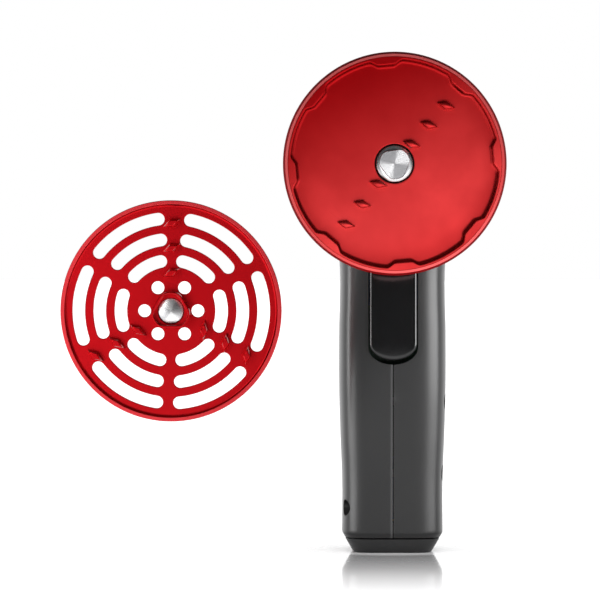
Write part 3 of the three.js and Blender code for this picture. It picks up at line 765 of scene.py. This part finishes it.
# a flat sheet with holes and rounded edges, drawn as seen from the front, between two depths
def punched(name, centre, paths, frontDepth, backDepth, edge):
    curve = bpy.data.curves.new(name, "CURVE")
    curve.dimensions = "2D"
    curve.fill_mode = "BOTH"
    curve.extrude = ((backDepth - frontDepth) / 2 - edge) * mm
    curve.bevel_depth = edge * mm
    curve.bevel_resolution = 2
    curve.offset = -edge * mm
    for path in paths:
        spline = curve.splines.new("POLY")
        spline.points.add(len(path) - 1)
        for point, (x, y) in zip(spline.points, path):
            point.co = (x * mm, y * mm, 0, 1)
        spline.use_cyclic_u = True
    holder = placed(name, curve)
    mesh = evaluated(holder, name)
    discard(holder)
    middle = centre + Vector((0, (frontDepth + backDepth) / 2, 0))
    mesh.transform(Matrix.Translation(middle * mm) @ Matrix.Rotation(math.radians(90), 4, "X"))
    closeUp(mesh)
    return mesh


def plateRim(angle):
    outer, inner = plate["radius"], plate["radius"] - plate["rimWall"]
    front, face, back = plate["rimEdge"], plate["face"], plate["back"]
    return roundCorners([
        (inner, front, 0.12), (outer, front, 0.14), (outer, back, 0.4), (inner - 0.6, back, 0),
        (inner - 0.6, face, 0), (inner - 0.55, face - 0.02, 0), (inner, face - 0.02, 0.5)], steps=4)


def makePlate():
    face, back = plate["face"], plate["back"]
    paths = [circlePath(plate["radius"] - plate["overlap"], count=192)]
    for radius, first, toothSpoke, plainSpoke in plate["rings"]:
        for k in range(3):
            spoke = first + 120 * k
            plain = spoke + 60
            paths.append(slotPath(radius, spoke + toothSpoke, plain - plainSpoke, plate["slot"]))
            paths.append(slotPath(radius, plain + plainSpoke, spoke + 120 - toothSpoke, plate["slot"]))
    ring, hole, count = plate["holes"]
    paths += [circlePath(hole, polar(ring, tau * k / count), 32) for k in range(count)]
    magnetRoom = circlePath(magnetHigh.x - plateCentre.x + 0.1)
    bossPath, pocketPath = trianglePath(*plate["boss"]), trianglePath(*plate["pocket"])
    # outlines, front, back and rounded edge of each layer
    layers = {
        "plate sheet": ([*paths, magnetRoom], face, back - plate["backing"], plate["edge"]),
        "plate backing": (paths, back - plate["backing"], back, plate["edge"]),
        "plate boss": ([bossPath, pocketPath], plate["bossEnd"], face + 0.2, 0.22),
        "pocket floor": ([bossPath, circlePath(plate["magnetHole"])],
                         magnetLow.y - rimY + 0.15, face + 0.1, 0.08),
    }
    meshes = [punched(name, plateCentre, *spec) for name, spec in layers.items()]
    meshes.append(spun("plate rim", plateCentre, plateRim, count=192))
    meshes += teeth("plate tooth", plateCentre, plateTeeth, face, paint["plateRed"])
    whole = joined("grinding plate", meshes)
    smoothBelow(whole, 32)
    creaseFlats(whole)
    piece = addObject("grindingPlate", whole, paint["plateRed"], paint["plateRim"])
    rimFrom = (plate["radius"] - plate["rimWall"] - 0.1) * mm
    # the rim's front faces take the painted-highlight red
    for face in whole.polygons:
        out = face.center - plateCentre * mm
        onRim = math.hypot(out.x, out.z) > rimFrom and out.y < (plate["rimEdge"] + 0.3) * mm
        face.material_index = 1 if onRim else 0
    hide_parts("grinding_plate")
    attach(piece, "plate")


def makeMagnet():
    radius = magnetHigh.x - plateCentre.x
    front, back = magnetLow.y - rimY, magnetHigh.y - rimY
    outline = [(0, front), (radius - 0.18, front), (radius - 0.05, front + 0.05), (radius, front + 0.18),
               (radius, back), (0, back)]
    mesh = spun("magnet", plateCentre, lambda angle: outline, count=96, closed=False)
    smoothBelow(mesh, 30)
    piece = addObject("plateMagnet", mesh, paint["magnetSteel"])
    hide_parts("plate_magnet")
    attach(piece, "plate_carrier")


makePlate()
makeMagnet()
print("plate made")


case = {
    # height, half width, front, back
    "stations": [
        (3.9, 12.05, -14.2, 13.8), (5, 12.65, -14.9, 14.5), (18, 12.65, -15.2, 14.8),
        (30, 13.1, -15.6, 15.4), (42, 13.4, -16, 15.9), (56, 13.4, -16, 16), (64, 13.2, -15.9, 15.6),
        (72, 13.25, -15.9, 15.2), (80, 14.15, -16.2, 15.2), (87, 15.75, -16.8, 15.8),
        (94, 17.15, -17.4, 16.6)],
    "frontPower": 5.0, "backPower": 2.7, "cornerSpread": 0.14, "ringPoints": 160, "levels": 72,
    "bottom": 3.9, "top": 94, "wall": 2.0, "edges": {"left": 0.42, "right": 0.2},
    "barrel": 18.0, "barrelFront": -27.7, "barrelBack": 20.0, "backRound": 5.0,
    "mouth": 2.05, "slotDepths": (-22, -12.5), "wellOver": 0.1,
    # more rings where the bottom edge turns in, up to the last of these heights
    "bottomRings": (3.9, 4.1, 4.3, 4.6, 4.9, 5.2, 5.8, 6.3),
}


# half width, front and back at a height, on a smooth curve through the stations
def stationAt(z):
    rows = case["stations"]
    if z <= rows[1][0]:
        t = (z - rows[0][0]) / (rows[1][0] - rows[0][0])
        return [a + (b - a) * t for a, b in zip(rows[0][1:], rows[1][1:])]
    k = next((i for i in range(1, len(rows) - 1) if z <= rows[i + 1][0]), len(rows) - 2)
    before, low, high, after = rows[max(1, k - 1)], rows[k], rows[k + 1], rows[min(len(rows) - 1, k + 2)]
    span = high[0] - low[0]
    t = min(1, max(0, (z - low[0]) / span))
    values = []
    for i in (1, 2, 3):
        slopeLow = (high[i] - before[i]) / (high[0] - before[0]) * span
        slopeHigh = (after[i] - low[i]) / (after[0] - low[0]) * span
        a = 2 * t ** 3 - 3 * t ** 2 + 1
        b = t ** 3 - 2 * t ** 2 + t
        c = -2 * t ** 3 + 3 * t ** 2
        d = t ** 3 - t ** 2
        values.append(a * low[i] + b * slopeLow + c * high[i] + d * slopeHigh)
    return values


def sectionRing(z, halfWidth, front, back, inset=0.0, count=None):
    count = count or case["ringPoints"]
    ring = []
    for i in range(count):
        t = tau * i / count
        # spread more evenly round the square corners
        t = t - case["cornerSpread"] * math.sin(4 * t)
        c, s = math.cos(t), math.sin(t)
        depth = (-front if s < 0 else back) - inset
        power = 2 / (case["frontPower"] if s < 0 else case["backPower"])
        x = 0 if abs(c) < 1e-9 else math.copysign(abs(c) ** power, c) * (halfWidth - inset)
        y = 0 if abs(s) < 1e-9 else math.copysign(abs(s) ** power, s) * depth
        ring.append((x, y, z))
    return ring


def gripMesh(name, inset, bottom, top, levels, count):
    heights = [bottom + (top - bottom) * k / levels for k in range(levels + 1)]
    if inset == 0:
        *rings, last = case["bottomRings"]
        heights = [*rings, *[h for h in heights if h > last]]
    return stacked(name, [sectionRing(z, *stationAt(z), inset, count) for z in heights])


def barrelMesh(name, inset, count):
    radius, back = case["barrel"] - inset, case["barrelBack"] - inset
    front = case["barrelFront"] - (1 if inset else 0)
    bend = case["backRound"] - inset
    corners = [(0, front, 0), (radius, front, 0), (radius, back, bend), (0, back, 0)]
    outline = [(r, y - rimY) for r, y in roundCorners(corners, steps=8)]
    return spun(name, headCentre, lambda angle: outline, count=count, closed=False)


def rodMesh(name, radius, start, end, count=48):
    start, end = Vector(start), Vector(end)
    across = (end - start).normalized().to_track_quat("Z", "X")
    rings = []
    for centre in (start, end):
        flat = [Vector((*polar(radius, tau * i / count), 0)) for i in range(count)]
        rings.append([centre + across @ point for point in flat])
    return stacked(name, rings)


# an upright slot outline whose lower end is a flattened arc
def pillPath(width, bottom, top, inset=0.0, steps=24, lowerEnd=0.7):
    half = width / 2 - inset
    drop = width / 2 * lowerEnd - inset
    upper, lower = top - width / 2, bottom + inset + drop
    turns = [math.pi * k / steps for k in range(steps + 1)]
    path = [(half * math.cos(a), upper + half * math.sin(a)) for a in turns]
    path += [(-half * math.cos(a), lower - drop * math.sin(a)) for a in turns]
    return path


def boolean(mesh, other, operation):
    first = addObject("boolean first", mesh)
    second = addObject("boolean second", other)
    change = first.modifiers.new("change", "BOOLEAN")
    change.operation = operation
    change.object = second
    change.solver = "EXACT"
    result = evaluated(first, mesh.name)
    discard(first, second)
    return result


caseScrews = [f"case_screw_{k}" for k in range(1, 5)]
baseScrews = [f"base_screw_{k}" for k in (1, 2)]
jackLow, jackHigh = boxOf("charge_jack")
jackAt = ((jackLow.y + jackHigh.y) / 2, (jackLow.z + jackHigh.z) / 2)
triggerGap = {"side": 0.35, "below": 1.2, "above": 0.6}


def caseCutters():
    pieces = []
    width = triggerHigh.x - triggerLow.x + 2 * triggerGap["side"]
    slot = pillPath(width, triggerLow.z - triggerGap["below"], triggerHigh.z + triggerGap["above"])
    pieces.append(stacked("trigger slot", [[(x, y, z) for x, z in slot] for y in case["slotDepths"]]))
    pieces.append(rodMesh("socket mouth", case["mouth"], (-20, *jackAt), (-9, *jackAt)))
    for name in caseScrews:
        low, high = boxOf(name)
        y, z = (low.y + high.y) / 2, (low.z + high.z) / 2
        radius = (high.y - low.y) / 2 + case["wellOver"]
        pieces.append(rodMesh("screw well", radius, (high.x - 1.6, y, z), (24, y, z)))
    return joined("case cutters", pieces)


# everything on one side of the seam
def halfBox(side):
    reach = 60
    low, high = sorted((caseSeam / 2 * side, reach * side))
    ring = [(low, -reach), (high, -reach), (high, reach), (low, reach)]
    return stacked("half", [[(x, y, z) for x, y in ring] for z in (-10, 150)])


def makeCase():
    bottom, top, wall = case["bottom"], case["top"], case["wall"]
    grip = gripMesh("case", 0, bottom, top, case["levels"], case["ringPoints"])
    outside = boolean(grip, barrelMesh("barrel", 0, 144), "UNION")
    room = gripMesh("room", wall, bottom + wall, top - 1, 20, 48)
    inside = boolean(room, barrelMesh("barrel room", wall, 64), "UNION")
    hollow = boolean(outside, inside, "DIFFERENCE")
    cut = boolean(hollow, caseCutters(), "DIFFERENCE")
    for side, word in ((-1, "left"), (1, "right")):
        node = word + "_shell"
        holder = addObject("half", boolean(cut.copy(), halfBox(side), "INTERSECT"))
        bevelled(case["edges"][word], 3, 38)(holder)
        finished = evaluated(holder, node)
        discard(holder)
        smoothBelow(finished, 38)
        finished.materials.clear()
        piece = addObject("case" + word.title(), finished, paint["case"])
        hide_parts(node)
        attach(piece, "handle")


makeCase()
print("case made")


cap = {
    # height, half width
    "rings": [(0, 9.5), (0.12, 9.8), (0.45, 10.15), (3.2, 11.75), (3.5, 11.8), (3.6, 11.65)],
    "frontOver": 1.9, "backOver": 1.5, "well": 2.6, "wellTop": 1.9,
}


def makeCap():
    rings = [sectionRing(z, half, -half - cap["frontOver"], half + cap["backOver"])
             for z, half in cap["rings"]]
    wells = []
    for name in baseScrews:
        low, high = boxOf(name)
        x = (low.x + high.x) / 2
        wells.append(rodMesh("well", cap["well"], (x, 0, -1), (x, 0, cap["wellTop"])))
    mesh = boolean(stacked("base cap", rings), joined("wells", wells), "DIFFERENCE")
    smoothBelow(mesh, 38)
    piece = addObject("baseCap", mesh, paint["capPlastic"])
    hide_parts("base_cap")
    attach(piece, "handle")


makeCap()


trigger = {
    "edge": 0.5, "bow": 1.3, "bowPower": 1.4, "crown": 0.1, "backEdge": 0.4, "edgeSteps": 8, "faceSteps": 9,
}


def triggerFront(z):
    t = (z - triggerLow.z) / (triggerHigh.z - triggerLow.z)
    return triggerLow.y + trigger["bow"] * t ** trigger["bowPower"]


def makeTrigger():
    width = triggerHigh.x - triggerLow.x
    edge, crown, backEdge = trigger["edge"], trigger["crown"], trigger["backEdge"]

    def outline(inset):
        return pillPath(width, triggerLow.z, triggerHigh.z, inset)

    rings = [[(x, triggerHigh.y, z) for x, z in outline(backEdge)],
             [(x, triggerHigh.y - backEdge, z) for x, z in outline(0)]]
    steps = []
    for k in range(trigger["edgeSteps"] + 1):
        a = math.pi / 2 * k / trigger["edgeSteps"]
        steps.append((edge * (1 - math.cos(a)), edge * (1 - math.sin(a)) + crown))
    for k in range(1, trigger["faceSteps"]):
        t = k / trigger["faceSteps"]
        steps.append((edge + (width / 2 - edge) * t, crown * (1 - t) ** 2))
    for inset, rise in steps:
        rings.append([(x, triggerFront(z) + rise, z) for x, z in outline(inset)])
    mesh = stacked("trigger", rings)
    smoothBelow(mesh, 50)
    piece = addObject("triggerPad", mesh, paint["trigger"])
    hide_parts("trigger")
    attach(piece, "trigger")


makeTrigger()
print("cap and trigger made")


# the heads of the case screws face right and those of the base screws face down
screws = {
    "height": 1.35, "recess": 1.7, "slot": 0.24, "edge": 0.14, "firstTurn": 23, "turnStep": 31,
    "sink": 0.7, "shankFrom": 1.3, "caseShank": 1.0, "baseShank": 1.2,
}


def makeScrews():
    for index, name in enumerate(caseScrews + baseScrews):
        low, high = boxOf(name)
        x, y, z = (low + high) / 2
        radius = (high.y - low.y) / 2
        values = {
            "Radius": radius * mm, "Height": screws["height"] * mm, "Recess": screws["recess"] * mm,
            "Slot": screws["slot"] * radius * mm, "Material": paint["steel"]}
        mesh = screwHeads.meshWith("screw head", values, bevelled(screws["edge"], 2, 35))
        sink, under = screws["sink"], screws["shankFrom"]
        if name in caseScrews:
            at = Vector((high.x - sink, y, z))
            aim = Matrix.Rotation(math.radians(90), 4, "Y")
            shank = rodMesh("shank", screws["caseShank"], (low.x, y, z), (high.x - under, y, z), 24)
        else:
            at = Vector((x, y, low.z + sink))
            aim = Matrix.Rotation(math.radians(180), 4, "X")
            shank = rodMesh("shank", screws["baseShank"], (x, y, low.z + under), (x, y, high.z), 24)
        turn = Matrix.Rotation(math.radians(screws["firstTurn"] + screws["turnStep"] * index), 4, "Z")
        mesh.transform(Matrix.Translation(at * mm) @ aim @ turn)
        screw = joined(name, [mesh, shank])
        smoothBelow(screw, 35)
        # the tree's own slot number doesn't fit the joined mesh
        for face in screw.polygons:
            face.material_index = 0
        piece = addObject("screw" + name.title().replace("_", ""), screw, paint["steel"])
        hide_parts(name)
        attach(piece, "handle")


makeScrews()
print("screws made")


# pieces kept as they come, by the finish they get
carried = {
    "steel": ["front_bearing", "head_screw_1", "head_screw_2", "head_screw_3", "planet_pin_1",
              "planet_pin_2", "planet_pin_3", "motor_screw_1", "motor_screw_2", "motor_shaft", "jack_pin",
              "trigger_pin", "trigger_spring"],
    "darkSteel": ["gearbox_plate", "planet_carrier", "motor_mount"],
    "brass": ["planet_gear_1", "planet_gear_2", "planet_gear_3", "sun_gear", "battery_contact_bottom",
              "battery_contact_top"],
    "canSteel": ["motor_can"],
    "nylon": ["ring_gear", "motor_end_cap", "switch_plunger"],
    "rubber": ["shaft_seal", "charge_jack", "micro_switch"],
    "sleeve": ["battery_cell"],
    "board": ["control_board"],
}
for finishName, nodes in carried.items():
    for node in nodes:
        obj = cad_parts[node]
        obj.data.materials.clear()
        obj.data.materials.append(paint[finishName])
print("carried pieces finished")


studio = {
    "floorSize": 4000, "floorFront": 750, "floorLamp": 4.6, "lampSpread": 110, "lampTurn": 30,
    # how much of the floor mirrors and is painted greyer, a painted shade round the piece: under the base,
    # further out, and where it ends
    "mirrorAndShade": {"near": 0.5, "far": 0.95, "from": (18, 6), "ends": (106, 95)},
    # how bright the surroundings look in a mirror, and where they change
    "back": 1.75, "front": 0.10, "top": 0.16, "backFrom": (0.35, 0.35), "topFrom": (0.5, 0.4),
    # place, aim, width, height, brightness, and which pieces take the light
    "boxes": {
        "left strip": ((-380, -178, 90), (0, 0, 70), 340, 700, 13.0, "case"),
        "right strip": ((344, -241, 90), (0, 0, 70), 400, 700, 10.0, "case"),
        "low front": ((45, -500, 42), (0, -30, 85), 170, 60, 5.2, "head"),
        "plate side": ((-225, -480, 100), (-55, -36, 61), 130, 300, 3.6, "plate"),
    },
    "takes": {
        "case": ["caseLeft", "caseRight", "baseCap", "triggerPad"],
        "head": ["grindingHead", "driveShaft"],
        "plate": ["grindingPlate", "plateMagnet"],
    },
}


def makeFloor():
    # the glossy part's grey colour is a painted shade: it darkens the floor round the piece where the mirror
    # weight is high
    f = finish("floor white", (0.28, 0.28, 0.282))
    at = f.place()
    x, y, z = f.parts(at)
    away = (x * x + y * y) ** 0.5
    cloud = f.noise(at, 0.01, detail=2.0)
    f.set("Roughness", 0.04 + cloud * 0.03)
    # polished and greyer near the piece, partly a real mirror and partly a painted shade round it; plain
    # white further out
    plain = f.node("ShaderNodeBsdfDiffuse", None, {"Color": (0.92, 0.92, 0.925, 1)})
    near, far = studio["mirrorAndShade"]["near"], studio["mirrorAndShade"]["far"]
    gained = away.above(*studio["mirrorAndShade"]["from"]) * (far - near)
    mirrorAndShade = gained + near - away.above(*studio["mirrorAndShade"]["ends"]) * far
    mixed = f.node("ShaderNodeMixShader", None, {0: mirrorAndShade, 1: plain})
    f.tree.links.new(f.shader.outputs[0], mixed.socket.node.inputs[2])
    f.tree.links.new(mixed.socket, f.tree.nodes["Material Output"].inputs[0])
    size, front = studio["floorSize"], -studio["floorFront"]
    corners = [(-size, front, 0), (size, front, 0), (size, size, 0), (-size, size, 0)]
    floor = addObject("floor", meshFrom("floor", corners, [(0, 1, 2, 3)]), f.material)
    return floor


def lightOnly(lamp, pieces):
    only = bpy.data.collections.new(lamp.name + " takers")
    for piece in pieces:
        only.objects.link(piece)
    lamp.light_linking.receiver_collection = only


# brightness is what the face of the box shows, whatever its size
def softbox(name, at, target, width, height, brightness, takers):
    data = bpy.data.lights.new(name, "AREA")
    data.shape = "RECTANGLE"
    data.size, data.size_y = width * mm, height * mm
    data.energy = brightness * math.pi * data.size * data.size_y
    lamp = placed(name, data)
    lamp.location = Vector(at) * mm
    aim = Vector(target) - Vector(at)
    lamp.rotation_euler = aim.to_track_quat("-Z", "Y").to_euler()
    lamp.visible_camera = False
    lightOnly(lamp, [bpy.data.objects[piece] for piece in studio["takes"][takers]])


# a wide soft sun that only the floor takes, so the floor stays white and the piece keeps its own light
def floorLamp(floor):
    data = bpy.data.lights.new("floor lamp", "SUN")
    data.energy = studio["floorLamp"]
    data.angle = math.radians(studio["lampSpread"])
    lamp = placed("floor lamp", data)
    lamp.rotation_euler = (math.radians(studio["lampTurn"]), 0, 0)
    lightOnly(lamp, [floor])


# what the piece mirrors: light behind, dimmer in front and above; the backdrop itself shows white
def makeWorld():
    world = bpy.data.worlds.new("studio")
    bpy.context.scene.world = world
    world.use_nodes = True
    tree = world.node_tree
    shown = tree.nodes["Background"]
    shown.inputs["Color"].default_value = (1, 1, 1, 1)
    mirrored = tree.nodes.new("ShaderNodeBackground")
    coords = tree.nodes.new("ShaderNodeTexCoord")
    split = tree.nodes.new("ShaderNodeSeparateXYZ")
    tree.links.new(coords.outputs["Generated"], split.inputs[0])
    behind = shaderValue(tree, split.outputs[1]).above(*studio["backFrom"])
    above = shaderValue(tree, split.outputs[2]).above(*studio["topFrom"])
    level = studio["front"] + (studio["back"] - studio["front"]) * behind
    level = level * (1 - above) + above * studio["top"]
    feed(tree, mirrored.inputs["Strength"], level)
    ray = tree.nodes.new("ShaderNodeLightPath")
    mix = tree.nodes.new("ShaderNodeMixShader")
    tree.links.new(ray.outputs["Is Camera Ray"], mix.inputs[0])
    tree.links.new(mirrored.outputs[0], mix.inputs[1])
    tree.links.new(shown.outputs[0], mix.inputs[2])
    tree.links.new(mix.outputs[0], tree.nodes["World Output"].inputs[0])


floorLamp(makeFloor())
makeWorld()
for name, spec in studio["boxes"].items():
    softbox(name, *spec)
print("floor and light set")
